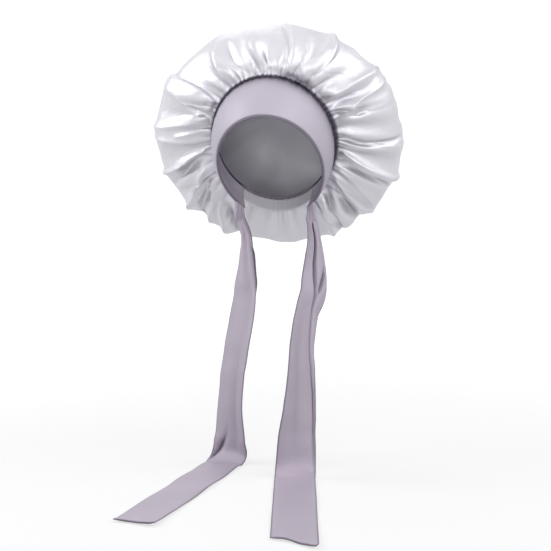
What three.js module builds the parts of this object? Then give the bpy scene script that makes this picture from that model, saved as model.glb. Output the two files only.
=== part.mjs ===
import * as THREE from 'three';

// Lengths are millimetres and angles are degrees. The face opening looks along -Y and +Z is up.
// The origin is the middle of the head that wears the cap.

// Face opening: the front edge of the band, an oval that leans forward over the forehead.
const FACE_WIDTH = 140;
const FACE_LENGTH = 205;
const FACE_LEAN = 49;
const FACE_Y = 0.5;
const FACE_Z = -7.5;

// Gathered seam: the oval where the crown is sewn to the band.
const SEAM_WIDTH = 158;
const SEAM_LENGTH = 200;
const SEAM_LEAN = 37;
const SEAM_Y = 33.5;
const SEAM_Z = 28;
const SEAM_RADIUS = 2;

// Crown: the fullest ring of the puffed satin, and how far its back stands behind that ring.
const RIM_WIDTH = 350;
const RIM_LENGTH = 338;
const RIM_LEAN = 30;
const RIM_Y = 93;
const RIM_Z = 32.5;
const CROWN_DEPTH = 82;
const CROWN_FRONT_PUFF = 32;
const CROWN_RIM_ROUND = 38;
const RIM_SHARE = 0.45;

// Main folds of the crown, as angles round the seam from the forehead toward +X.
const FOLD_ANGLES = [4, 25, 55, 88, 110, 129, 150, 178, 204, 231, 252, 274, 302, 332];
const FOLD_DEPTH = 6;
const BACK_EASE = 0.8;

// Cloth thicknesses, and the clearance left between two pieces.
const SATIN = 1.2;
const KNIT = 1.4;
const GAP = 0.4;
const SWING_GAP = 0.8;

// Band: from the forehead round to an end behind each ear.
const BAND_END_ANGLE = 142;
const BAND_BULGE = 6;
const PIPING_RADIUS = 1.7;

// Casing at the nape and the elastic inside it.
const CASING_HEIGHT = 18;
const CASING_WALL = 1.2;
const ELASTIC_THICKNESS = 1.2;

// Ties: flat tubes of the band's cloth, sewn on in pleats under the ends of the band.
const TIE_LENGTH = 664;
const TIE_WIDTH = 54;
const TIE_THICKNESS = 2.4;
const TIE_ANGLE = 135;
const PLEAT_WIDTH = 14;
const PLEAT_THICKNESS = 4.8;
const TIE_HOLLOW = 12;
const ANCHOR_HEIGHT = 14;
const ANCHOR_SPAN = 11;

// Height of the middle of the head over the floor that the ends of the ties lie on.
const FLOOR_DROP = 414;

// Each tie's fall: share of the drop, sideways and backward shift, turn of its face, share of its width.
const LEFT_FALL = [
  [0.083, 9.5, -6, -30, 0.3],
  [0.146, 10.4, -12, -42, 0.45],
  [0.24, 10.5, -22, -42, 0.7],
  [0.302, 10.7, -28, -42, 0.84],
  [0.364, 9.4, -33, -42, 0.95],
  [0.494, 3.2, -39, -44, 1],
  [0.624, -3.4, -42, -45, 1],
  [0.76, -7.3, -42, -44, 1],
  [0.895, -7.6, -37, -33, 1],
  [0.965, -9.8, -33.5, -16, 1],
  [1, -16, -45, -10, 1],
];
const RIGHT_FALL = [
  [0.081, 5.4, -6, 20, 0.34],
  [0.175, 7.4, -20, 35, 0.6],
  [0.237, 8.1, -34, 44, 0.75],
  [0.296, 7.3, -51, 53, 0.82],
  [0.355, 2, -68, 61, 0.9],
  [0.473, -3, -91, 60, 0.97],
  [0.594, -4, -101, 54, 1],
  [0.718, -5.5, -104, 43, 1],
  [0.845, -8.8, -104, 28, 1],
  [0.962, -10, -105, 14, 1],
  [1, -9.5, -119, 6, 1],
];
const LEFT_END_SLANT = 2;
const RIGHT_END_SLANT = 32;

// Sizes that follow from the ones above.
const BAND_MIDDLE = KNIT + GAP / 2;
const CASING_THICKNESS = 2 * CASING_WALL + 2 * GAP + ELASTIC_THICKNESS;
const LINING_GAP = 2 * GAP;

function radians(degrees) {
  return (degrees * Math.PI) / 180;
}

function direction(x, y, z) {
  return new THREE.Vector3(x, y, z).normalize();
}

// A point on an oval that leans, counted from its top toward +X.
function ovalPoint(width, length, lean, y, z, angle) {
  const side = Math.sin(radians(angle)) * (width / 2);
  const rise = Math.cos(radians(angle)) * (length / 2);
  return new THREE.Vector3(side, y - rise * Math.sin(radians(lean)), z + rise * Math.cos(radians(lean)));
}

function facePoint(angle) {
  return ovalPoint(FACE_WIDTH, FACE_LENGTH, FACE_LEAN, FACE_Y, FACE_Z, angle);
}

function seamPoint(angle) {
  return ovalPoint(SEAM_WIDTH, SEAM_LENGTH, SEAM_LEAN, SEAM_Y, SEAM_Z, angle);
}

function rimPoint(angle) {
  return ovalPoint(RIM_WIDTH, RIM_LENGTH, RIM_LEAN, RIM_Y, RIM_Z, angle);
}

// The band's sheet: share 0 is its front edge, share 1 its back edge at the seam.
function bandSheet(angle, share) {
  const point = facePoint(angle).lerp(seamPoint(angle), share);
  const middle = new THREE.Vector3(0, (FACE_Y + SEAM_Y) / 2, (FACE_Z + SEAM_Z) / 2);
  const outward = point.clone().sub(middle).normalize();
  const bulge = BAND_BULGE * (bandHeight(angle) / bandHeight(0));
  return point.addScaledVector(outward, bulge * 4 * share * (1 - share));
}

// The outward direction of a sheet, from two short steps across it.
function sheetNormal(sheet, first, second, firstStep, secondStep) {
  const across = sheet(first + firstStep, second).sub(sheet(first - firstStep, second));
  const along = sheet(first, second + secondStep).sub(sheet(first, second - secondStep));
  return across.cross(along).normalize();
}

function bandNormal(angle, share) {
  return sheetNormal(bandSheet, angle, share, 0.5, 0.01);
}

function bandOffset(angle, share, offset) {
  return bandSheet(angle, share).addScaledVector(bandNormal(angle, share), offset);
}

// Direction from the front edge toward the seam.
function bandBackward(angle, share) {
  return bandSheet(angle, share + 0.01).sub(bandSheet(angle, share - 0.01)).normalize();
}

// Height of the band at an angle, and the angle that a length along an edge takes up.
function bandHeight(angle) {
  return facePoint(angle).distanceTo(seamPoint(angle));
}

function angleFor(edge, angle, length) {
  return length / edge(angle + 0.5).distanceTo(edge(angle - 0.5));
}

// A closed body from corner points and the loops that bound its faces, turned outside out.
function closedBody(points, triangles) {
  let volume = 0;
  for (const [a, b, c] of triangles) {
    volume += points[a].dot(points[b].clone().cross(points[c]));
  }
  const index = triangles.flatMap(([a, b, c]) => (volume > 0 ? [a, b, c] : [a, c, b]));
  const geometry = new THREE.BufferGeometry();
  geometry.setAttribute('position', new THREE.Float32BufferAttribute(points.flatMap((p) => p.toArray()), 3));
  geometry.setIndex(index);
  geometry.computeVertexNormals();
  return geometry;
}

// A body swept through closed rings of equal length. The ends are closed by fans, or the sweep joins up.
function sweptBody(rings, joined) {
  const count = rings[0].length;
  const points = rings.flat();
  const triangles = [];
  const steps = joined ? rings.length : rings.length - 1;
  for (let i = 0; i < steps; i += 1) {
    const here = i * count;
    const next = ((i + 1) % rings.length) * count;
    for (let j = 0; j < count; j += 1) {
      const k = (j + 1) % count;
      triangles.push([here + j, next + j, next + k], [here + j, next + k, here + k]);
    }
  }
  if (!joined) {
    const last = (rings.length - 1) * count;
    for (let j = 0; j < count / 2 - 1; j += 1) {
      const k = count - 1 - j;
      triangles.push([j, j + 1, k - 1], [j, k - 1, k]);
      triangles.push([last + j, last + k - 1, last + j + 1], [last + j, last + k, last + k - 1]);
    }
  }
  return closedBody(points, triangles);
}

// The ring round one cut of a cloth strip: along its outer side, and back along its inner side.
function stripRing(shares, outer, inner) {
  return [...shares.map(outer), ...shares.map(inner).reverse()];
}

function spaced(count, low, high) {
  return Array.from({ length: count + 1 }, (_, i) => low + ((high - low) * i) / count);
}

// A layer of the band between two depths.
function bandLayer(low, high) {
  const shares = spaced(4, 0, 1);
  const angles = spaced(44, -BAND_END_ANGLE, BAND_END_ANGLE);
  return sweptBody(
    angles.map((angle) => stripRing(
      shares,
      (share) => bandOffset(angle, share, high),
      (share) => bandOffset(angle, share, low),
    )),
    false,
  );
}

// A round cord laid along an edge of the band.
function edgeCord(centre, backward, normal, radius, angles, joined) {
  const rings = angles.map((angle) => spaced(6, 0, 360).slice(0, 6).map((turn) => centre(angle)
    .addScaledVector(backward(angle), radius * Math.cos(radians(turn)))
    .addScaledVector(normal(angle), radius * Math.sin(radians(turn)))));
  return sweptBody(rings, joined);
}

function pipingCentre(angle) {
  return bandOffset(angle, 0, BAND_MIDDLE)
    .addScaledVector(bandBackward(angle, 0), -(PIPING_RADIUS + GAP));
}

function seamCentre(angle) {
  return bandOffset(angle, 1, BAND_MIDDLE)
    .addScaledVector(bandBackward(angle, 1), SEAM_RADIUS + GAP);
}

// The way the gathered satin leaves the seam: outward and a little forward over the band.
function crownLeave(angle) {
  const outward = seamPoint(angle).sub(new THREE.Vector3(0, SEAM_Y, SEAM_Z)).normalize();
  const forward = direction(0, -Math.cos(radians(SEAM_LEAN)), -Math.sin(radians(SEAM_LEAN)));
  return outward.multiplyScalar(0.98).addScaledVector(forward, 0.2).normalize();
}

const CROWN_AXIS = direction(0, Math.cos(radians(RIM_LEAN)), Math.sin(radians(RIM_LEAN)));

function apexPoint() {
  return new THREE.Vector3(0, RIM_Y, RIM_Z).addScaledVector(CROWN_AXIS, CROWN_DEPTH);
}

// The crown's sheet without its folds: share 0 at the seam, RIM_SHARE at the rim, 1 at the back.
function crownSheet(angle, share) {
  const rim = rimPoint(angle);
  if (share <= RIM_SHARE) {
    const leave = crownLeave(angle);
    const start = seamCentre(angle).addScaledVector(leave, SEAM_RADIUS + GAP);
    const curve = new THREE.CubicBezierCurve3(
      start,
      start.clone().addScaledVector(leave, CROWN_FRONT_PUFF),
      rim.clone().addScaledVector(CROWN_AXIS, -CROWN_RIM_ROUND),
      rim,
    );
    return curve.getPoint(share / RIM_SHARE);
  }
  const outward = rim.clone().sub(new THREE.Vector3(0, RIM_Y, RIM_Z));
  const curve = new THREE.CubicBezierCurve3(
    rim,
    rim.clone().addScaledVector(CROWN_AXIS, CROWN_DEPTH * 0.6),
    apexPoint().addScaledVector(outward, 0.55),
    apexPoint(),
  );
  return curve.getPoint((share - RIM_SHARE) / (1 - RIM_SHARE));
}

function crownNormal(angle, share) {
  if (share > 0.99) {
    return CROWN_AXIS.clone();
  }
  const inside = Math.max(share, 0.011);
  return sheetNormal(crownSheet, angle, inside, 0.5, 0.01);
}

// Depth of the satin below its fold crests: flat panels sink between neighbouring crests.
function foldDip(angle, share) {
  const turned = ((angle % 360) + 360) % 360;
  const after = FOLD_ANGLES.findIndex((crest) => crest > turned);
  const next = after < 0 ? FOLD_ANGLES[0] + 360 : FOLD_ANGLES[after];
  const before = after < 0 ? FOLD_ANGLES.length - 1 : after - 1;
  const last = before < 0 ? FOLD_ANGLES[FOLD_ANGLES.length - 1] - 360 : FOLD_ANGLES[before];
  const place = turned < last ? turned + 360 : turned;
  const across = Math.sin((Math.PI * (place - last)) / (next - last));
  const behind = Math.max(0, share - RIM_SHARE) / (1 - RIM_SHARE);
  const along = Math.sin(Math.PI * Math.min(1, share)) ** 0.8;
  return FOLD_DEPTH * across * along * (1 - BACK_EASE * behind);
}

function crownOffset(angle, share, offset) {
  const raise = offset - foldDip(angle, share);
  return crownSheet(angle, share).addScaledVector(crownNormal(angle, share), raise);
}

// A layer of the crown between two depths: an open cup with one round edge at the seam.
function crownLayer(low, high) {
  const angles = FOLD_ANGLES.flatMap((crest, i) => {
    const next = i + 1 < FOLD_ANGLES.length ? FOLD_ANGLES[i + 1] : FOLD_ANGLES[0] + 360;
    return spaced(4, crest, next).slice(0, 4);
  });
  const shares = [0, 0.08, 0.17, 0.27, 0.36, RIM_SHARE, 0.55, 0.66, 0.77, 0.88];
  const count = angles.length;
  const points = [];
  for (const offset of [high, low]) {
    for (const share of shares) {
      points.push(...angles.map((angle) => crownOffset(angle, share, offset)));
    }
    points.push(apexPoint().addScaledVector(CROWN_AXIS, offset));
  }
  const side = shares.length * count + 1;
  const triangles = [];
  for (let j = 0; j < count; j += 1) {
    const k = (j + 1) % count;
    for (let i = 0; i + 1 < shares.length; i += 1) {
      const here = i * count;
      const next = here + count;
      triangles.push([here + j, here + k, next + k], [here + j, next + k, next + j]);
      triangles.push([side + here + j, side + next + k, side + here + k]);
      triangles.push([side + here + j, side + next + j, side + next + k]);
    }
    const last = (shares.length - 1) * count;
    triangles.push([last + j, last + k, side - 1]);
    triangles.push([side + last + j, 2 * side - 1, side + last + k]);
    triangles.push([j, side + k, k], [j, side + j, side + k]);
  }
  return closedBody(points, triangles);
}

// Angles of the casing's ends, a clearance past the ends of the band.
function casingAngles() {
  const end = BAND_END_ANGLE + angleFor(seamPoint, BAND_END_ANGLE, 2 * GAP);
  return spaced(16, end, 360 - end);
}

function casingCorner(angle, inset, depth) {
  const height = bandHeight(angle);
  const low = 1 - (CASING_HEIGHT - inset) / height;
  const high = 1 - inset / height;
  const half = CASING_THICKNESS / 2 - depth;
  return [
    bandOffset(angle, low, BAND_MIDDLE + half),
    bandOffset(angle, high, BAND_MIDDLE + half),
    bandOffset(angle, high, BAND_MIDDLE - half),
    bandOffset(angle, low, BAND_MIDDLE - half),
  ];
}

// The casing: a flat tunnel of cloth, open at both ends.
function napeCasing() {
  const angles = casingAngles();
  const rings = angles.map((angle) => [
    ...casingCorner(angle, 0, 0),
    ...casingCorner(angle, CASING_WALL, CASING_WALL),
  ]);
  const triangles = [];
  for (let i = 0; i + 1 < rings.length; i += 1) {
    const here = i * 8;
    const next = here + 8;
    for (let j = 0; j < 4; j += 1) {
      const k = (j + 1) % 4;
      triangles.push([here + j, next + j, next + k], [here + j, next + k, here + k]);
      triangles.push([here + 4 + j, next + 4 + k, next + 4 + j], [here + 4 + j, here + 4 + k, next + 4 + k]);
    }
  }
  const last = (rings.length - 1) * 8;
  for (let j = 0; j < 4; j += 1) {
    const k = (j + 1) % 4;
    triangles.push([j, k, 4 + k], [j, 4 + k, 4 + j]);
    triangles.push([last + j, last + 4 + k, last + k], [last + j, last + 4 + j, last + 4 + k]);
  }
  return closedBody(rings.flat(), triangles);
}

function napeElastic() {
  const inset = CASING_WALL + GAP;
  return sweptBody(casingAngles().map((angle) => casingCorner(angle, inset, inset)), false);
}

// The line a tie swings on: under the band's edge, along X.
function tieRoot(side) {
  const root = pipingCentre(side * TIE_ANGLE);
  root.z -= PIPING_RADIUS + GAP + ANCHOR_HEIGHT + SWING_GAP + PLEAT_THICKNESS / 2;
  return root;
}

// The sewn head of a tie: pleats that run from the band's slanted edge down to the swing line.
function tieAnchor(side) {
  const root = tieRoot(side);
  const shares = spaced(6, -1, 1);
  const top = (share) => {
    const point = pipingCentre(side * (TIE_ANGLE - share * ANCHOR_SPAN * 0.5));
    point.z -= PIPING_RADIUS + 3 * GAP;
    return point;
  };
  const foot = (share) => {
    const point = root.clone();
    point.x += side * share * (PLEAT_WIDTH / 2);
    point.z += SWING_GAP + PLEAT_THICKNESS / 2;
    return point;
  };
  const sheet = (share, down) => top(share).lerp(foot(share), down);
  const rings = spaced(5, 0, 1).map((down) => {
    const lift = (share, sign) => {
      const inside = Math.min(Math.max(down, 0.02), 0.98);
      const normal = sheetNormal(sheet, share, inside, 0.02, 0.02);
      return sheet(share, down).addScaledVector(normal, (sign * PLEAT_THICKNESS) / 2);
    };
    return stripRing(shares, (share) => lift(share, 1), (share) => lift(share, -1));
  });
  return sweptBody(rings, false);
}

// The middle line of a tie from its swing line to its end, with the turn and width of its face.
function tieFall(side, fall) {
  const root = tieRoot(side);
  const floor = -FLOOR_DROP + TIE_THICKNESS / 2;
  const stops = [[0, 0, 0, 0, PLEAT_WIDTH / TIE_WIDTH], ...fall];
  const points = stops.map(([share, x, y]) => new THREE.Vector3(
    root.x + x,
    root.y + y,
    root.z + (floor - root.z) * share,
  ));
  const drop = points.slice(1).reduce((sum, point, i) => sum + point.distanceTo(points[i]), 0);
  const turn = radians(stops[stops.length - 1][3]);
  const ahead = new THREE.Vector3(Math.sin(turn), -Math.cos(turn), 0);
  const crease = points[points.length - 1];
  const tail = TIE_LENGTH - drop;
  const end = crease.clone().addScaledVector(ahead, tail);
  const curve = new THREE.CatmullRomCurve3([...points, crease.clone().lerp(end, 0.2), end]);
  return { stops, points, crease, ahead, tail, turn, curve };
}

// The hanging part of a tie, rounded at the top where it swings and cut square at the floor crease.
function tieDrop(side, fall) {
  const { stops, points, ahead, curve } = tieFall(side, fall);
  const last = curve.points.length - 1;
  const shares = spaced(6, -1, 1);
  const rings = [];
  const addRing = (at, slide, half) => {
    const low = Math.min(Math.floor(at), points.length - 2);
    const part = at - low;
    const turn = radians(stops[low][3] + (stops[low + 1][3] - stops[low][3]) * part);
    const spread = stops[low][4] + (stops[low + 1][4] - stops[low][4]) * part;
    const hollow = TIE_HOLLOW * (1 - spread) * Math.min(at, 1);
    const along = curve.getTangent(at / last);
    if (at === 0) {
      along.set(0, 0, -1);
    }
    if (at === points.length - 1) {
      along.copy(ahead);
    }
    const across = new THREE.Vector3(Math.cos(turn), Math.sin(turn), 0);
    across.addScaledVector(along, -across.dot(along)).normalize();
    const face = along.clone().cross(across).normalize();
    const place = (share, lift) => curve.getPoint(at / last)
      .addScaledVector(along, slide)
      .addScaledVector(across, (share * TIE_WIDTH * spread) / 2)
      .addScaledVector(face, lift - hollow * share * share);
    rings.push(stripRing(shares, (share) => place(share, half), (share) => place(share, -half)));
  };
  const round = PLEAT_THICKNESS / 2;
  for (const turn of [12, 40, 65]) {
    addRing(0, -round * Math.cos(radians(turn)), round * Math.sin(radians(turn)));
  }
  for (const at of spaced(2 * (points.length - 1), 0, points.length - 1)) {
    const thick = Math.max(TIE_THICKNESS, PLEAT_THICKNESS - at * 0.8);
    const atEnd = at === points.length - 1;
    addRing(at, atEnd ? -(TIE_THICKNESS / 2 + GAP) : 0, thick / 2);
  }
  return sweptBody(rings, false);
}

// The part of a tie that lies on the floor, rounded where it folds and sewn shut at a slant.
function tieTail(side, fall, slant) {
  const { crease, ahead, tail } = tieFall(side, fall);
  const across = new THREE.Vector3(-ahead.y, ahead.x, 0);
  const shares = spaced(6, -1, 1);
  const half = TIE_THICKNESS / 2;
  const ring = (far, lift, skew) => {
    const place = (share, height) => crease.clone()
      .addScaledVector(ahead, far + skew * share)
      .addScaledVector(across, (share * TIE_WIDTH) / 2)
      .add(new THREE.Vector3(0, 0, height));
    return stripRing(shares, (share) => place(share, lift), (share) => place(share, -lift));
  };
  const rings = [12, 40, 65].map((turn) => ring(
    -half * Math.cos(radians(turn)),
    half * Math.sin(radians(turn)),
    0,
  ));
  for (const part of spaced(5, 0, 1)) {
    rings.push(ring(tail * part, half, (slant / 2) * part * part));
  }
  return sweptBody(rings, false);
}

const SATIN_FINISH = { color: 0xe9e7ee, roughness: 0.34, metalness: 0 };
const KNIT_FINISH = { color: 0xc6bccf, roughness: 0.62, metalness: 0 };
const PIPING_FINISH = { color: 0x8d8496, roughness: 0.6, metalness: 0 };
const THREAD_FINISH = { color: 0x615a69, roughness: 0.7, metalness: 0 };
const ELASTIC_FINISH = { color: 0xf2f1ef, roughness: 0.75, metalness: 0 };

const part = new THREE.Group();

function add(name, geometry, finish) {
  const mesh = new THREE.Mesh(geometry, new THREE.MeshStandardMaterial(finish));
  mesh.name = name;
  part.add(mesh);
}

const allRound = spaced(72, 0, 360).slice(0, 72);
const bandRound = spaced(64, -BAND_END_ANGLE, BAND_END_ANGLE);

add('headband_facing', bandLayer(0, KNIT), KNIT_FINISH);
add('headband_outer', bandLayer(KNIT + GAP, 2 * KNIT + GAP), KNIT_FINISH);
add('front_edge_piping', edgeCord(
  pipingCentre,
  (angle) => bandBackward(angle, 0),
  (angle) => bandNormal(angle, 0),
  PIPING_RADIUS,
  bandRound,
  false,
), PIPING_FINISH);
add('gather_seam', edgeCord(
  seamCentre,
  (angle) => bandBackward(angle, 1),
  (angle) => bandNormal(angle, 1),
  SEAM_RADIUS,
  allRound,
  true,
), THREAD_FINISH);
add('crown_outer', crownLayer(-SATIN, 0), SATIN_FINISH);
add('crown_lining', crownLayer(-2 * SATIN - LINING_GAP, -SATIN - LINING_GAP), SATIN_FINISH);
add('nape_casing', napeCasing(), SATIN_FINISH);
add('nape_elastic', napeElastic(), ELASTIC_FINISH);
add('left_tie_anchor', tieAnchor(-1), KNIT_FINISH);
add('right_tie_anchor', tieAnchor(1), KNIT_FINISH);
add('left_tie_drop', tieDrop(-1, LEFT_FALL), KNIT_FINISH);
add('right_tie_drop', tieDrop(1, RIGHT_FALL), KNIT_FINISH);
add('left_tie_tail', tieTail(-1, LEFT_FALL, LEFT_END_SLANT), KNIT_FINISH);
add('right_tie_tail', tieTail(1, RIGHT_FALL, RIGHT_END_SLANT), KNIT_FINISH);

export default part;
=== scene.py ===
import math

import bmesh
import bpy
import numpy as np
from mathutils import Euler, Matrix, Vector


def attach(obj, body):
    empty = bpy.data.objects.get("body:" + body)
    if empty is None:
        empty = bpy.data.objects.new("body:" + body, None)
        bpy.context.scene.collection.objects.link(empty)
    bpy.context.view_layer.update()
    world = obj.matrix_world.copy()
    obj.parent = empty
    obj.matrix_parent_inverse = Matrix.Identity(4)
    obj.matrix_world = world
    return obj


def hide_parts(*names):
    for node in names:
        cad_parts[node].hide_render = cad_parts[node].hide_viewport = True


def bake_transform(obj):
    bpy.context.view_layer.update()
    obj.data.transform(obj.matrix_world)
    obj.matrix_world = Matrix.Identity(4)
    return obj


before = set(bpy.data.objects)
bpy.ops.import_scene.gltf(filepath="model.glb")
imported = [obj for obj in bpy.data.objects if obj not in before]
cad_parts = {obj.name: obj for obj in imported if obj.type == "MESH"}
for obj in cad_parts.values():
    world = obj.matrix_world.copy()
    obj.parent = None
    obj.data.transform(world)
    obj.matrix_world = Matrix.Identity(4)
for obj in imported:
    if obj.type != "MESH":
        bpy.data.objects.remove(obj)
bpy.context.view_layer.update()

MM = 0.001
RNG = np.random.default_rng(20)

# Sizes of the solids, in millimetres and degrees, as the part's source has them.
# An oval has a width, a length, a lean, and the place of its middle along Y and Z.
FACE_OVAL = (140, 205, 49, 0.5, -7.5)
SEAM_OVAL = (158, 200, 37, 33.5, 28)
RIM_OVAL = (350, 338, 30, 93, 32.5)
FACE_MIDDLE = np.array([0, *FACE_OVAL[3:]], float)
SEAM_MIDDLE = np.array([0, *SEAM_OVAL[3:]], float)
RIM_MIDDLE = np.array([0, *RIM_OVAL[3:]], float)
SEAM_LEAN = math.radians(SEAM_OVAL[2])
RIM_LEAN = math.radians(RIM_OVAL[2])
SEAM_AXIS = np.array([0, math.cos(SEAM_LEAN), math.sin(SEAM_LEAN)])
CROWN_AXIS = np.array([0, math.cos(RIM_LEAN), math.sin(RIM_LEAN)])
SEAM_RADIUS = 2
CROWN_DEPTH = 82
CROWN_FRONT_PUFF = 32
CROWN_RIM_ROUND = 38
CROWN_BACK_PUFF = 0.6
CROWN_BACK_FLAT = 0.55
LEAVE_OUT = 0.98
LEAVE_FORWARD = 0.2
RIM_SHARE = 0.45
APEX = RIM_MIDDLE + CROWN_AXIS * CROWN_DEPTH
KNIT = 1.4
GAP = 0.4
BAND_END_ANGLE = 142
BAND_BULGE = 6
BAND_MIDDLE = KNIT + GAP / 2
PIPING_RADIUS = 1.7
FLOOR_Z = -414

# Steps for slopes: degrees round an oval, and share of a sheet.
ANGLE_STEP = 0.5
SHARE_STEP = 0.01


def unit(v):
    """Vectors scaled to length one along their last axis."""
    v = np.asarray(v, float)
    return v / np.maximum(np.linalg.norm(v, axis=-1, keepdims=True), 1e-12)


def soft_step(x):
    """0 to 1, level at both ends."""
    x = np.clip(x, 0, 1)
    return x * x * (3 - 2 * x)


def stacked(*parts):
    """Coordinates joined along a new last axis."""
    return np.stack(np.broadcast_arrays(*parts), axis=-1).astype(float)


def running_mean(values, reach, **padding):
    """Values averaged with their neighbours up to reach places away."""
    count = 2 * reach + 1
    padded = np.pad(values, reach, **(padding or {"mode": "edge"}))
    return np.convolve(padded, np.ones(count) / count, "valid")


def oval(sizes, angle):
    """Points on a leaning oval, counted in degrees from its top toward +X."""
    width, length, lean, y, z = sizes
    turn = np.radians(angle)
    rise = np.cos(turn) * length / 2
    lean = math.radians(lean)
    return stacked(np.sin(turn) * width / 2, y - rise * math.sin(lean), z + rise * math.cos(lean))


def band_height(angle):
    return np.linalg.norm(oval(FACE_OVAL, angle) - oval(SEAM_OVAL, angle), axis=-1)


def band_sheet(angle, share):
    """The band: share 0 is its front edge, share 1 its back edge at the seam."""
    angle, share = np.broadcast_arrays(np.asarray(angle, float), np.asarray(share, float))
    face, seam = oval(FACE_OVAL, angle), oval(SEAM_OVAL, angle)
    point = face + (seam - face) * share[..., None]
    middle = (FACE_MIDDLE + SEAM_MIDDLE) / 2
    bulge = BAND_BULGE * band_height(angle) / band_height(0.0) * 4 * share * (1 - share)
    return point + unit(point - middle) * bulge[..., None]


def sheet_normal(sheet, angle, share):
    across = sheet(angle + ANGLE_STEP, share) - sheet(angle - ANGLE_STEP, share)
    along = sheet(angle, share + SHARE_STEP) - sheet(angle, share - SHARE_STEP)
    return unit(np.cross(across, along))


def band_normal(angle, share):
    return sheet_normal(band_sheet, np.asarray(angle, float), np.asarray(share, float))


def band_offset(angle, share, offset):
    return band_sheet(angle, share) + band_normal(angle, share) * np.asarray(offset, float)[..., None]


def band_backward(angle, share):
    return unit(band_sheet(angle, share + SHARE_STEP) - band_sheet(angle, share - SHARE_STEP))


def piping_centre(angle):
    return band_offset(angle, 0.0, BAND_MIDDLE) - band_backward(angle, 0.0) * (PIPING_RADIUS + GAP)


def seam_centre(angle):
    return band_offset(angle, 1.0, BAND_MIDDLE) + band_backward(angle, 1.0) * (SEAM_RADIUS + GAP)


def seam_outward(angle):
    return unit(oval(SEAM_OVAL, angle) - SEAM_MIDDLE)


def bezier(a, b, c, d, t):
    t = t[..., None]
    return (1 - t) ** 3 * a + 3 * (1 - t) ** 2 * t * b + 3 * (1 - t) * t * t * c + t ** 3 * d


# The crevice between band and crown, at angles round the seam: its depth and how far the painted
# shade in it reaches, in millimetres. The rate sets how soon after the seam it is deepest.
CREVICE_AT = (0, 40, 70, 110, 140, 180, 220, 270, 320, 360)
CREVICE = (1, 2, 4, 5, 4, 2, 3, 4, 2, 1)
CREVICE_WIDE = (3.5, 4.5, 8, 10, 9, 3, 4, 6, 4.5, 3.5)
CREVICE_RATE = 28


def crown_sheet(angle, share):
    """The crown without its folds: share 0 at the seam, RIM_SHARE at the rim, 1 at the back."""
    angle, share = np.broadcast_arrays(np.asarray(angle, float), np.asarray(share, float))
    rim = oval(RIM_OVAL, angle)
    leave = unit(LEAVE_OUT * seam_outward(angle) - LEAVE_FORWARD * SEAM_AXIS)
    start = seam_centre(angle) + leave * (SEAM_RADIUS + GAP)
    front = bezier(start, start + leave * CROWN_FRONT_PUFF, rim - CROWN_AXIS * CROWN_RIM_ROUND, rim,
                   np.clip(share / RIM_SHARE, 0, 1))
    back = bezier(rim, rim + CROWN_AXIS * CROWN_DEPTH * CROWN_BACK_PUFF,
                  APEX + (rim - RIM_MIDDLE) * CROWN_BACK_FLAT, np.broadcast_to(APEX, rim.shape),
                  np.clip((share - RIM_SHARE) / (1 - RIM_SHARE), 0, 1))
    depth = np.interp(angle % 360, CREVICE_AT, CREVICE)
    near = share * CREVICE_RATE
    dip = (depth * near * np.exp(1 - near))[..., None]
    return np.where((share <= RIM_SHARE)[..., None], front, back) + SEAM_AXIS * dip


def placed(name, data):
    """A new object in the scene."""
    obj = bpy.data.objects.new(name, data)
    bpy.context.scene.collection.objects.link(obj)
    return obj


def mesh_object(name, points, faces, uvs=None):
    """A smooth mesh from points in millimetres; uvs are cloth lengths in metres, one per point."""
    mesh = bpy.data.meshes.new(name)
    mesh.from_pydata((np.asarray(points) * MM).tolist(), [], faces)
    mesh.validate()
    mesh.update()
    mesh.polygons.foreach_set("use_smooth", [True] * len(mesh.polygons))
    if uvs is not None:
        layer = mesh.uv_layers.new(name="cloth")
        corner = np.empty(len(mesh.loops), int)
        mesh.loops.foreach_get("vertex_index", corner)
        layer.data.foreach_set("uv", np.asarray(uvs, float)[corner].ravel())
    return placed(name, mesh)


def grid_object(name, points, flip=False, uvs=None):
    """A sheet of quads through a grid of points."""
    rows, columns = points.shape[:2]
    faces = []
    for i in range(rows - 1):
        for j in range(columns - 1):
            here, after = i * columns + j, (i + 1) * columns + j
            quad = (here, here + 1, after + 1, after)
            faces.append(quad[::-1] if flip else quad)
    return mesh_object(name, points.reshape(-1, 3), faces, None if uvs is None else uvs.reshape(-1, 2))


def paint_shade(piece, values):
    """Stores how much painted shade the cloth shows at each point."""
    layer = piece.data.attributes.new("painted_shade", "FLOAT", "POINT")
    layer.data.foreach_set("value", np.asarray(values, float).ravel())


# Camera at the photograph's angle; light, floor and background. Lengths here are in metres.
CAMERA_LENS = 85
CAMERA_SENSOR = 36
CAMERA_DISTANCE = 1.745
CAMERA_TURN = 7
CAMERA_DOWN = 4.97
CAMERA_ASIDE = 0.0067
WORLD_LOW = (0.07, 0.07, 0.075)
WORLD_HIGH = (0.33, 0.335, 0.35)
WORLD_HIGH_AT = 0.9
WORLD_SEEN = (1, 1, 1)
FLOOR_COLOUR = (0.36, 0.36, 0.365)
# How brightly the floor shows, at distances from a point under the ties; the lamps add the rest.
FLOOR_GLOW_FROM = (0, -0.3, FLOOR_Z * MM)
FLOOR_GLOW_REACH = 2.5
FLOOR_GLOW = ((0.3, 0.675), (0.52, 0.685), (0.79, 0.71), (1.085, 0.76), (1.38, 0.83), (2.03, 1))
# Floor and backdrop in millimetres: places along Y, bend between them, height, half width.
FLOOR_ROWS = (-3500, -1500, -500, 500, 1500, 2400)
SWEEP_BEND = 600
BACKDROP_ROWS = (1200, 3200)
SWEEP_HALF_WIDTH = 4500
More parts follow.
